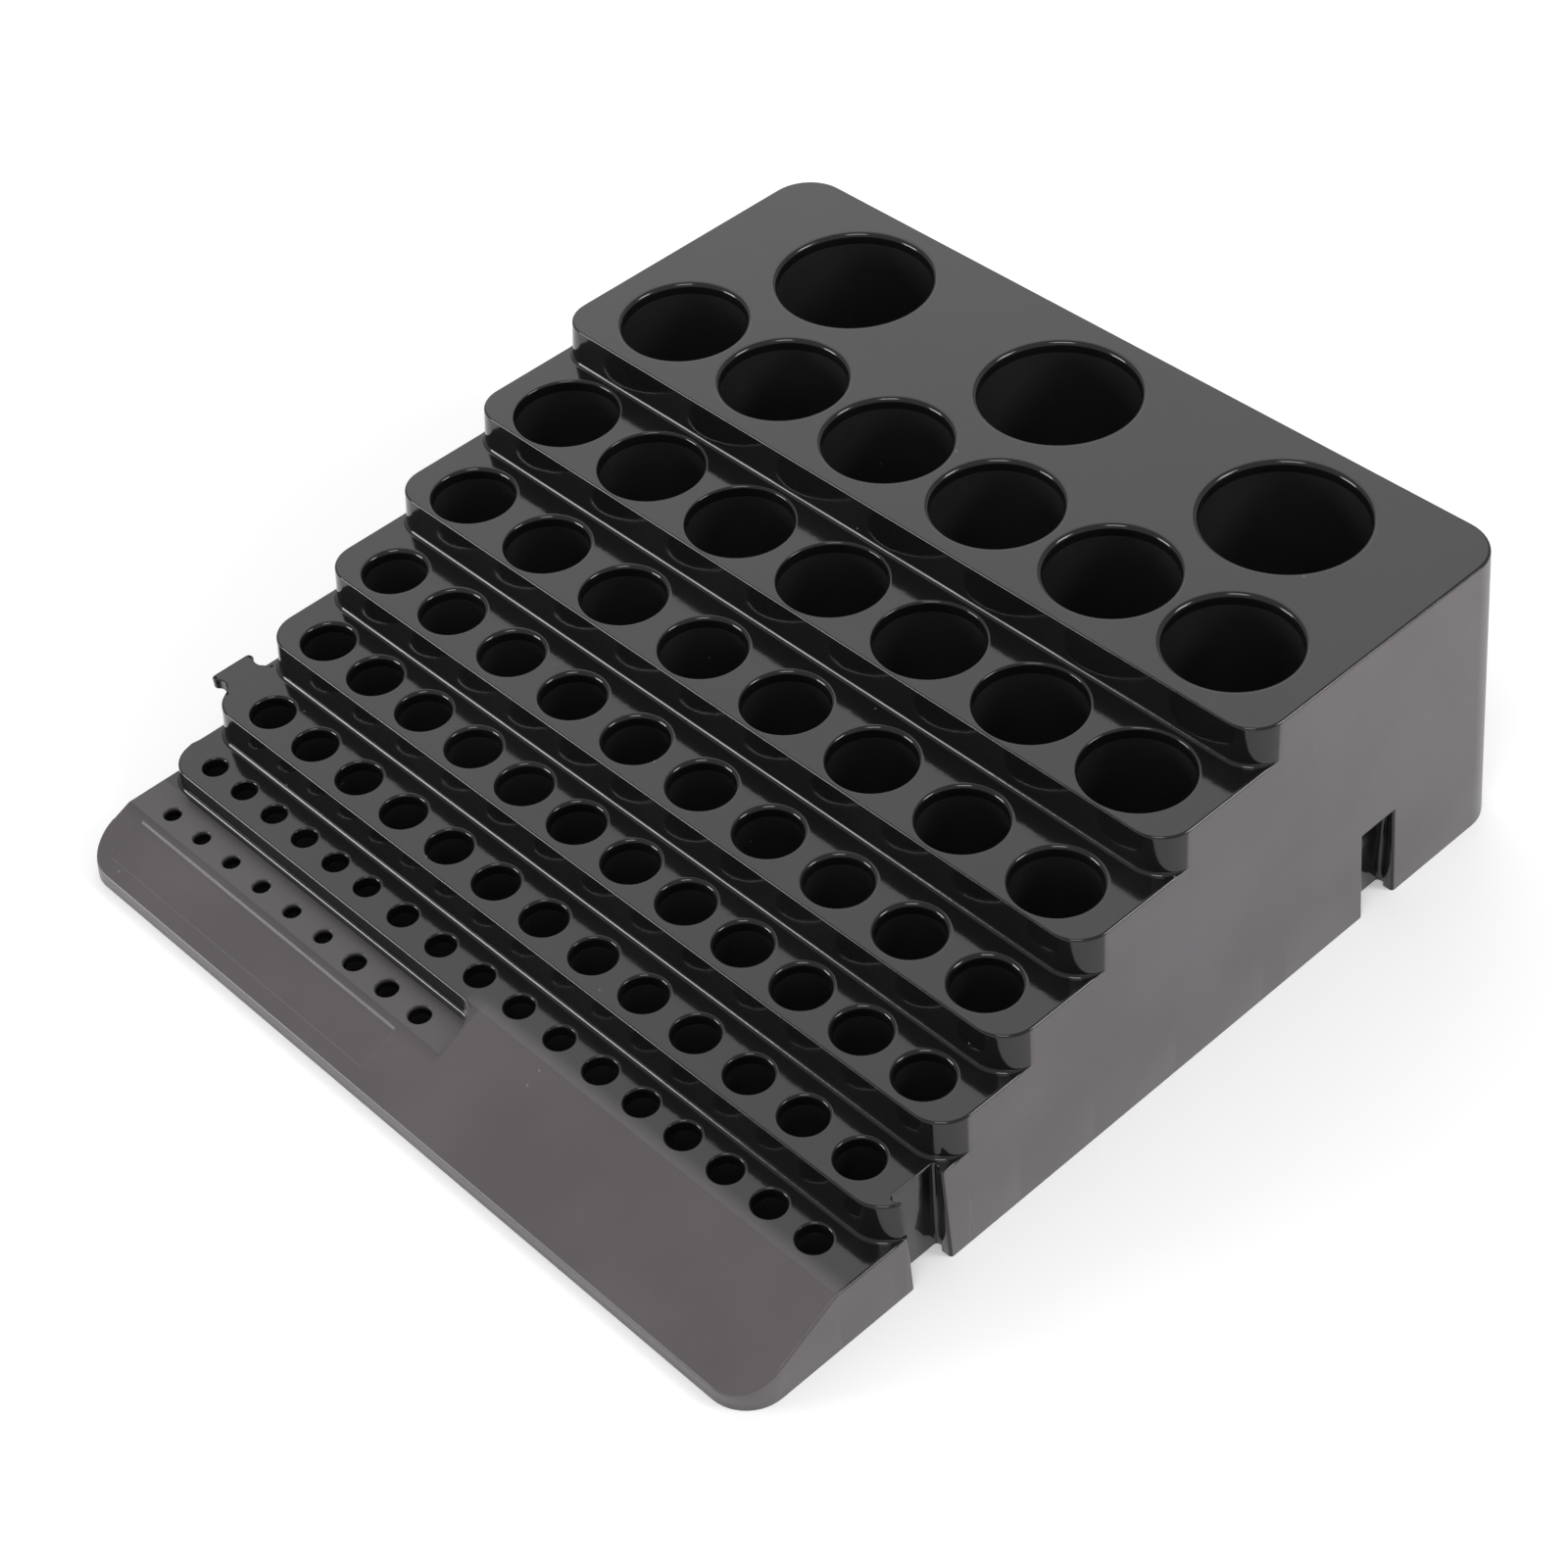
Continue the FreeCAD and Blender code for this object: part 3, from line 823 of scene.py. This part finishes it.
shell.fill(np.array([[-side_terrace, UNDER_TERRACE], [inner_end, UNDER_TERRACE], [inner_end, inner_back],
                     [-side_terrace, inner_back]]),
           cup_rings(TERRACE, SOCKET_WALL / 2), terrace_roof, flip=True)
end_wall = [(inner_back, low_roof), (UNDER_TREAD, low_roof), (UNDER_TERRACE, terrace_roof)]
shell.grid(np.array([
    [(-side_low, inner_back, low_roof)] + [(inner_end, y, z) for y, z in end_wall],
    [(-side_terrace, inner_back, terrace_roof)] + [(inner_end, y, terrace_roof) for y, _ in end_wall]]),
    closed=False)
shell.fill(bands[1][1][-1][:, :2], [hollows[1][1][-1][:, :2]], 0.0, flip=True)
moulded_shell = shell.build("moulded_shell")
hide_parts("side_wall_left", "side_wall_right", "side_wall_right_nose", "rear_wall",
            "step_1", "step_2", "step_3", "step_4", "step_5", "step_6", "top_deck", "low_terrace",
            "front_ramp", "link_pocket_front", "link_pocket_rear")

# %% [markdown]
# Each socket is a closed-ended cup that hangs under its tread. Its inside and
# its outside are two turned profiles, closed by a point on the axis. The cups
# stay separate pieces by rows, as in the frame.

# %% Socket cups
CUP_ROUND = 0.8


def cup(skin, row, place):
    """Inside: bore wall, rounded floor, axis. Outside: axis, rounded end, wall up to the tread."""
    x, y, radius, _ = place
    step, top = row[0], tread_height(row[0]) - WALL
    count = sides_for(radius)
    low, floor = SOCKET_LIFT, SOCKET_LIFT + SOCKET_FLOOR
    bend_in, outside = min(0.5, radius / 3), radius + SOCKET_WALL
    turn_from, turn_to = np.array(ROUNDING[::2]).T
    inner = [(radius, top), (radius, floor + bend_in * 1.3)]
    inner += list(zip(radius - bend_in * turn_to, floor + bend_in * turn_from))
    inner += [(radius - bend_in * 1.4, floor), (0.0, floor)]
    outer = [(0.0, low), (outside - CUP_ROUND * 1.3, low)]
    outer += list(zip(outside - CUP_ROUND * turn_from, low + CUP_ROUND * turn_to))
    outer += [(outside, low + CUP_ROUND * 1.3), (outside, (low + top) / 2), (outside, top)]
    rings = turned(outer, x, y, count)
    if step > 1:
        lowest = front_line(step, np.maximum(rings[..., 2], top_of(step - 1))) + 0.3
        rings[..., 1] = np.maximum(rings[..., 1], lowest)
    skin.grid(turned(inner, x, y, count))
    skin.grid(rings)


cups = []
for number, row in enumerate(ROWS, 1):
    skin = Skin()
    for place in sockets_of(row):
        cup(skin, row, place)
    piece = skin.build("socket_cups_row_%d" % number)
    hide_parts("sockets_row_%d" % number)
    cups.append(piece)

# %% [markdown]
# Two flat dovetail tabs on the left side fit the slots of a neighbour box.
# Their outline is drawn in plan with small round corners, and its edge is
# rounded like the treads. Half an outline is enough, since a tab is the same on
# both sides: its numbers are x from the tip, half the width and the corner's cut.

# %% Link tabs
TAB_REACH, TAB_THICK, TAB_SOFT, TAB_ROOT = 3.9, 2.4, 0.3, 5.6
TAB_HALF = np.array([(0.0, TAB_HEAD, 1.1), (1.5, TAB_HEAD, 0.35), (2.4, TAB_NECK, 0.5),
                     (4.2, TAB_NECK, 0.5), (6.2, TAB_ROOT, 0.5), (6.8, TAB_ROOT, 0.3)])
ABOVE_TREAD = 0.004


def soften(points, radius, count=6):
    """Replaces each corner of a closed outline by a short curve.

    The curve is a quadratic one that starts and ends at a distance radius from the corner.
    """
    p = np.asarray(points, float)
    radius = np.asarray(radius, float)[:, None]
    before, after = np.roll(p, 1, 0) - p, np.roll(p, -1, 0) - p
    before /= np.linalg.norm(before, axis=1)[:, None]
    after /= np.linalg.norm(after, axis=1)[:, None]
    t = np.linspace(0, 1, count)[None, :, None]
    a, b, c = (p + before * radius)[:, None], p[:, None], (p + after * radius)[:, None]
    return ((1 - t) ** 2 * a + 2 * t * (1 - t) * b + t**2 * c).reshape(-1, 2)


def drawn_in(loop, d):
    """A counter-clockwise outline moved inwards by d along its normals."""
    along = np.roll(loop, -1, 0) - np.roll(loop, 1, 0)
    along /= np.linalg.norm(along, axis=1)[:, None]
    return loop + d * np.stack([-along[:, 1], along[:, 0]], -1)


def link_tab(name, middle, top):
    """A flat plate: its outline carried down over a rounded upper and lower edge."""
    both = np.concatenate([TAB_HALF * [1, -1, 1], TAB_HALF[::-1]])
    loop = soften(both[:, :2], both[:, 2]) + [-BASE_WIDTH / 2 - TAB_REACH, middle]
    steps = [(TAB_SOFT * 1.4, 0.0)] + [(TAB_SOFT * inward, TAB_SOFT * drop) for inward, drop in ROUNDING]
    steps += [(d, TAB_THICK - h) for d, h in steps[::-1]]
    skin = Skin()
    rows = [np.column_stack([drawn_in(loop, d), np.full(len(loop), top - h)]) for d, h in steps]
    skin.grid(np.stack(rows))
    skin.fill(rows[0][:, :2], [], top)
    skin.fill(rows[-1][:, :2], [], top - TAB_THICK, flip=True)
    piece = skin.build(name)
    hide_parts(name.replace("dovetail_tab", "link_tab"))
    return piece


tabs = [link_tab("dovetail_tab_front", LINKS["front"], top_of(2) + ABOVE_TREAD),
        link_tab("dovetail_tab_rear", LINKS["rear"], REAR_SLOT_TOP - LINK_GAP)]

# %% [markdown]
# A finish is a net of shader nodes. Laid out node by node it is long and hard
# to read, so two small classes write it as ordinary maths: one wraps a socket
# and adds a Math node for every sum or product, the other makes any node in one
# call, settings first.

# %% Shader sockets that can be added and multiplied
def maths(operation, swapped=False):
    """A method that adds one Math node to the material of the socket it is called on."""
    def method(self, other=0.0):
        first, second = (other, self) if swapped else (self, other)
        return self.finish.node("ShaderNodeMath", dict(operation=operation), {0: first, 1: second})
    return method


class Value:
    """A shader socket. Arithmetic on it adds Math nodes to the same material."""

    __add__ = __radd__ = maths("ADD")
    __mul__ = __rmul__ = maths("MULTIPLY")
    __sub__, __rsub__ = maths("SUBTRACT"), maths("SUBTRACT", swapped=True)
    least, most, above = maths("MINIMUM"), maths("MAXIMUM"), maths("GREATER_THAN")
    size, root = maths("ABSOLUTE"), maths("SQRT")

    def __init__(self, finish, socket):
        self.finish, self.socket = finish, socket

    def lifted(self, low, high):
        """A smooth rise from 0 at low to 1 at high."""
        return self.finish.node("ShaderNodeMapRange", dict(interpolation_type="SMOOTHSTEP", clamp=True),
                                {"Value": self, "From Min": low, "From Max": high})


class Finish:
    """A material under construction. Settings are made before sockets are filled."""

    def __init__(self, name):
        self.material = bpy.data.materials.new(name)
        self.material.use_nodes = True
        self.tree = self.material.node_tree
        self.tree.nodes.clear()

    def node(self, kind, settings=None, values=None, out=0):
        made = self.tree.nodes.new(kind)
        for key, value in (settings or {}).items():
            setattr(made, key, value)
        for key, value in (values or {}).items():
            if isinstance(value, Value):
                self.tree.links.new(value.socket, made.inputs[key])
            else:
                made.inputs[key].default_value = value
        return Value(self, made.outputs[out])

    def mix(self, share, first, second):
        """Two colours in one: a share of 0 gives the first, 1 the second."""
        values = {"Factor": share, 6: first, 7: second}
        return self.node("ShaderNodeMix", dict(data_type="RGBA"), values, out=2)

    def surface(self, shader):
        end = self.tree.nodes.new("ShaderNodeOutputMaterial")
        self.tree.links.new(shader.socket, end.inputs["Surface"])
        return self.material


print("a finish can add, subtract, multiply, compare and mix")

# %% [markdown]
# The box is injection moulded from black plastic. Its treads, risers and mouths
# are polished: nearly black, with the room mirrored in them. The outer walls
# and the ramp have a fine matt skin, rougher than the polish, and there the
# colour is a painted sheen: mid-grey in place of black, darker on the terrace.
# One colour for all could not show both, and two separate pieces would open a
# seam in the moulding. So one finish holds both, chosen by position. Inside the
# sockets the black is painted lighter, a painted light. The rest is what
# catches the eye close up: faint waves and grain from the mould, and dust.

# %% Black moulded plastic
POLISHED = (0.0070, 0.0066, 0.0072), (0.0095, 0.0089, 0.0096)
# The three skin colours are painted sheen: mid-greys in place of the black, and the terrace's is darker.
RAMP_PAINTED_SHEEN = (0.088, 0.078, 0.083, 1.0), (0.099, 0.087, 0.092, 1.0)
TERRACE_PAINTED_SHEEN = (0.066, 0.059, 0.064, 1.0), (0.076, 0.067, 0.072, 1.0)
WALL_PAINTED_SHEEN = (0.098, 0.088, 0.095, 1.0), (0.119, 0.105, 0.114, 1.0)
DUST = (0.25, 0.25, 0.26, 1.0)
GLOSS, MATT, REFRACTION = 0.1, 0.24, 1.52


def moulded_plastic(name, painted_light_gain=1.0, with_skin_and_sheen=True):
    """Polished black with waviness, grain and dust.

    Roughness is the gloss plus a little of the cloud noise, and more under dust and on the
    matt skin. The third argument adds that skin on the outer walls and the ramp, with a
    grey painted sheen as its colour. The second argument scales the black; above 1 it is
    a painted light.
    """
    f = Finish(name)
    place = f.node("ShaderNodeTexCoord", out=3)

    def noise(scale, detail=2.0, rough=0.5):
        values = {"Vector": place, "Scale": scale, "Detail": detail, "Roughness": rough}
        return f.node("ShaderNodeTexNoise", {}, values)

    cloud, grain, peel = noise(38.0, 3.0), noise(2600.0, 3.0, 0.6), noise(420.0, 2.0)
    cells = {"Vector": place, "Scale": 260.0, "Randomness": 1.0}
    specks = f.node("ShaderNodeTexVoronoi", dict(feature="F1"), cells)
    chance = Value(f, specks.socket.node.outputs["Color"])
    pick = f.node("ShaderNodeSeparateColor", {}, {"Color": chance}).above(0.95)
    dust = (1 - specks.lifted(0.03, 0.09)) * pick
    tone = cloud.lifted(0.35, 0.7)
    # Above 1, this gain paints the black lighter: a painted light.
    low, high = np.array(POLISHED) * painted_light_gain
    base = f.mix(tone, (*low, 1.0), (*high, 1.0))
    rough = tone * 0.03 + dust * 0.3 + GLOSS
    height = peel * 0.4 + cloud * 1.2 + grain * 0.02
    if with_skin_and_sheen:
        # Where the skin is, the base colour turns to a painted sheen of grey; the added roughness is real.
        on_wall, on_ramp, on_terrace = skin_and_sheen_masks(f, place)
        low_part = f.mix(on_terrace, f.mix(tone, *RAMP_PAINTED_SHEEN), f.mix(tone, *TERRACE_PAINTED_SHEEN))
        matt_and_sheen = 1 - (1 - on_wall) * (1 - on_ramp)
        base = f.mix(matt_and_sheen, base, f.mix(on_wall, low_part, f.mix(tone, *WALL_PAINTED_SHEEN)))
        rough = rough + matt_and_sheen * MATT
        height = height + grain * matt_and_sheen * 0.25
    base = f.mix(dust * 0.5, base, DUST)
    bump = f.node("ShaderNodeBump", {}, {"Strength": 0.25, "Distance": 0.0002, "Height": height})
    shader = f.node("ShaderNodeBsdfPrincipled", {}, {
        "Base Color": base, "Roughness": rough, "IOR": REFRACTION, "Normal": bump})
    return f.surface(shader)


def skin_and_sheen_masks(f, place):
    """Where the matt skin and its painted sheen are: within a hair of the outer faces, on the ramp, and on
    the terrace.

    The depth below a rounded outline is its corner radius R minus the length of
    (R - depth behind one face, R - depth behind the other), negative parts left out.
    The two numbers in lifted are where a fade starts and ends, in millimetres.
    """
    split = f.node("ShaderNodeSeparateXYZ", {}, {"Vector": place})
    x, y, z = (Value(f, split.socket.node.outputs[k]) * (1 / MM) for k in range(3))

    def below(first, second, corner):
        a, b = (corner - first).most(0.0), (corner - second).most(0.0)
        return corner - (a * a + b * b).root()

    beside = (BASE_WIDTH / 2 - z * SLOPE) - (x - SHIFT_X).size()
    behind = (REAR_Y - z * REAR_SLOPE) - y
    before = (y - FRONT_Y) - z * SLOPE
    depth = below(beside, behind, REAR_CORNER).least(below(beside, before, NOSE_CORNER))
    on_wall = 1 - depth.lifted(0.02, 0.12)
    end = TERRACE_END + SHIFT_X
    top = ((y - EDGES[1]) * RAMP + FIRST_TREAD).least(TERRACE_TOP)
    on_top = (z - top).lifted(-1.0, -0.6)
    low_part = 1 - y.lifted(TERRACE_FOOT - 1.1, TERRACE_FOOT - 0.7)
    high_part = (1 - y.lifted(EDGES[1] - 0.5, EDGES[1] + 4.0)) * x.lifted(end - 5, end)
    on_ramp = (1 - (1 - low_part) * (1 - high_part)) * on_top
    on_terrace = y.lifted(TERRACE_FRONT - 3, TERRACE_FRONT + 1) * (1 - x.lifted(end, end + 1))
    return on_wall, on_ramp, on_terrace


black = moulded_plastic("black_moulded_plastic_painted_sheen")
plain = moulded_plastic("black_tab_plastic", 1.0, with_skin_and_sheen=False)
# The socket cups' black is painted three times lighter: painted light inside the holes.
inner = moulded_plastic("black_socket_plastic_painted_light", 3.0, with_skin_and_sheen=False)
for pieces, finish in (([moulded_shell], black), (tabs, plain), (cups, inner)):
    for piece in pieces:
        piece.data.materials.append(finish)
print("finished", black.name, plain.name, inner.name)

# %% [markdown]
# The photograph is a studio shot on white. Polished black shows only what it
# mirrors, so the lamps stand where its faces look: a large one behind the box
# for the treads, one overhead for the edges of the mouths, a low one at the
# front left for the feet of the steps, and one at the right for the side's
# upper edge. A brighter lamp would bleach the box before the floor turned
# white. So the floor has a faint glow instead, which the camera and the glossy
# plastic see but which lights nothing, and the box keeps its soft shadow.

# %% Floor and light
FLOOR = 6.0
PALE, WHITE, GLOW, ROOM = (0.93, 0.93, 0.93, 1.0), (1.0, 1.0, 1.0, 1.0), 0.2, 0.5
floor_mesh = bpy.data.meshes.new("floor")
corners = [(-FLOOR, -FLOOR, 0), (FLOOR, -FLOOR, 0), (FLOOR, FLOOR, 0), (-FLOOR, FLOOR, 0)]
floor_mesh.from_pydata(corners, [], [(0, 1, 2, 3)])
floor = bpy.data.objects.new("floor", floor_mesh)
bpy.context.scene.collection.objects.link(floor)
pale = Finish("pale_floor")
ray_kinds = "Is Camera Ray", "Is Glossy Ray", "Is Transmission Ray"
rays = [pale.node("ShaderNodeLightPath", out=kind) for kind in ray_kinds]
paint = pale.node("ShaderNodeBsdfDiffuse", {}, {"Color": PALE})
glow = pale.node("ShaderNodeEmission", {}, {"Color": WHITE, "Strength": GLOW})
seen = pale.node("ShaderNodeAddShader", {}, {0: paint, 1: glow})
whole = pale.node("ShaderNodeMixShader", {}, {0: rays[0] + rays[1] + rays[2], 1: paint, 2: seen})
floor_mesh.materials.append(pale.surface(whole))

world = bpy.data.worlds.new("bright_room")
bpy.context.scene.world = world
world.use_nodes = True
background = world.node_tree.nodes["Background"].inputs
background["Color"].default_value, background["Strength"].default_value = WHITE, ROOM


def soft_light(name, direction, distance, size, brightness):
    """A square lamp in a direction from the box, facing it.

    Its power is pi times its brightness times its area.
    """
    lamp = bpy.data.lights.new(name, "AREA")
    lamp.size, lamp.energy = size, math.pi * brightness * size**2
    holder = bpy.data.objects.new(name, lamp)
    place = Vector(direction).normalized() * distance
    holder.location = place
    holder.rotation_euler = (-place).to_track_quat("-Z", "Y").to_euler()
    bpy.context.scene.collection.objects.link(holder)
    return holder


soft_light("light_behind", (-0.58, 0.47, 0.67), 1.5, 1.1, 1.05)
soft_light("light_overhead", (0.25, -0.30, 0.92), 1.6, 0.5, 6.0)
soft_light("light_front_left", (-0.62, -0.74, 0.20), 1.5, 0.6, 9.0)
soft_light("light_right", (0.69, 0.47, 0.55), 1.5, 0.5, 8.5)
print("lamps", [lamp.name for lamp in bpy.data.lights])

# %% [markdown]
# The camera was fitted to the photograph: where it stands, the point on the
# table that it looks at, how far it is rolled, and how long its lens is. Its
# focal length in pixels of a picture 1600 wide becomes millimetres of a sensor.

# %% Camera
PLACE, AIM, ROLL = (0.35394, -0.29798, 0.45684), (-0.00848, 0.00978, 0.0), math.radians(-4.907)
FOCAL_PIXELS, PICTURE_WIDTH, SENSOR = 3329.73, 1600, 36.0
lens = bpy.data.cameras.new("camera")
lens.sensor_width, lens.lens = SENSOR, FOCAL_PIXELS / PICTURE_WIDTH * SENSOR
lens.clip_start, lens.clip_end = 0.01, 50.0
camera = bpy.data.objects.new("camera", lens)
look = (Vector(AIM) - Vector(PLACE)).to_track_quat("-Z", "Y") @ Quaternion((0.0, 0.0, 1.0), ROLL)
camera.matrix_world = Matrix.LocRotScale(Vector(PLACE), look, None)
bpy.context.scene.collection.objects.link(camera)
bpy.context.scene.camera = camera
bpy.context.scene.view_settings.view_transform = "Standard"
print("lens", round(lens.lens, 2), "mm")
